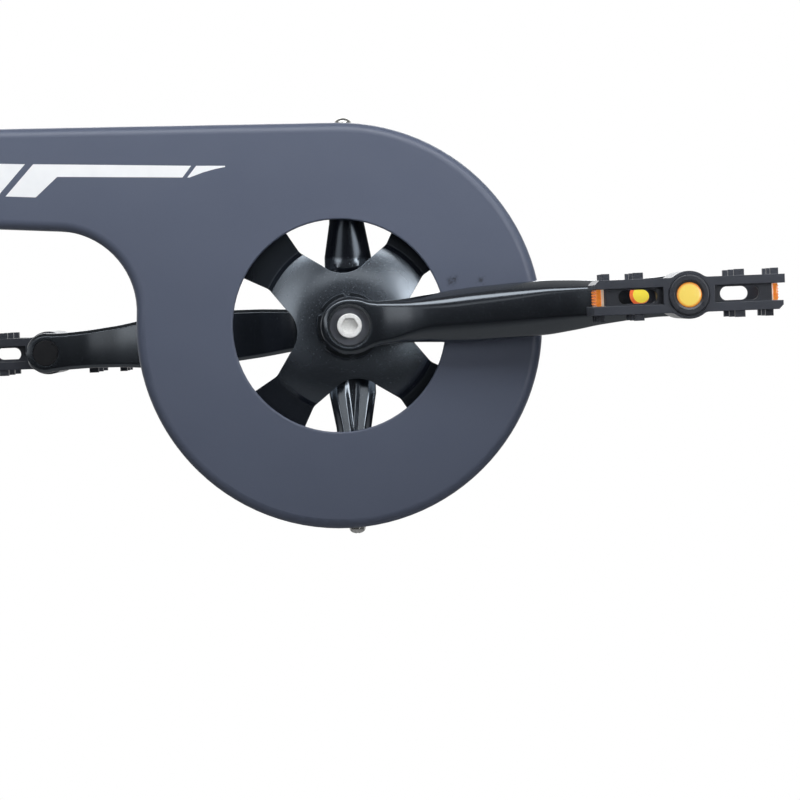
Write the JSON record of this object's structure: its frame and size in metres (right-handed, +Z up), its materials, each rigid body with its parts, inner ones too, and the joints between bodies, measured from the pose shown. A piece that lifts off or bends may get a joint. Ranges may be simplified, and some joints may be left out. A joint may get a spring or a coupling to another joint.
{
  "type": "bicycle pedal crankset with chain guard",
  "caption": "Pedal crankset off an electric bicycle: chainwheel behind a black chain guard, opposed cranks, platform pedals and a bottom bracket.",
  "frame": {"origin": "middle of the bottom-bracket shell, on the crank axis", "axes": "+X to the front of the bicycle, +Y to its left along the crank axis, +Z up"},
  "size_m": [0.5366, 0.3824, 0.2188],
  "materials": {
    "steel": "plain turned steel",
    "bracket_paint": "gloss black paint",
    "guard_plastic": "matte black moulding",
    "screw_zinc": "bright zinc",
    "wheel_paint": "gloss black paint",
    "crank_paint": "gloss black paint",
    "bolt_chrome": "bright plating",
    "washer_black": "satin black",
    "axle_black": "black oxide",
    "pedal_plastic": "moulded resin",
    "cap_black": "moulded cap",
    "disc_amber": "amber disc",
    "reflector_amber": "amber prisms"
  },
  "bodies": {
    "bottom_bracket": {"bb_sleeve": "steel", "bb_cup_right": "steel", "bb_cup_left": "steel", "guard_bracket": "bracket_paint", "guard_cover": "guard_plastic", "guard_screw_top": "screw_zinc", "guard_screw_bottom": "screw_zinc"},
    "crank": {"bb_spindle": "steel", "chainwheel": "wheel_paint", "crank_arm_right": "crank_paint", "crank_bolt_right": "bolt_chrome", "crank_washer_right": "washer_black", "pedal_axle_right": "axle_black", "crank_arm_left": "crank_paint", "crank_bolt_left": "bolt_chrome", "crank_washer_left": "washer_black", "pedal_axle_left": "axle_black"},
    "pedal_right": {"pedal_body_right": "pedal_plastic", "pedal_cap_right": "cap_black", "pedal_disc_right": "disc_amber", "pedal_reflector_front_right": "reflector_amber", "pedal_reflector_rear_right": "reflector_amber"},
    "pedal_left": {"pedal_body_left": "pedal_plastic", "pedal_cap_left": "cap_black", "pedal_disc_left": "disc_amber", "pedal_reflector_front_left": "reflector_amber", "pedal_reflector_rear_left": "reflector_amber"}
  },
  "joints": [
    {"name": "crank_spin", "type": "hinge", "parent": "bottom_bracket", "child": "crank", "pos_m": [0, 0, 0], "axis": [0, 1, 0], "continuous": true},
    {"name": "pedal_right_spin", "type": "hinge", "parent": "crank", "child": "pedal_right", "pos_m": [0.16926, 0, 0.01585], "axis": [0, 1, 0], "continuous": true},
    {"name": "pedal_left_spin", "type": "hinge", "parent": "crank", "child": "pedal_left", "pos_m": [-0.16926, 0, -0.01585], "axis": [0, 1, 0], "continuous": true}
  ]
}
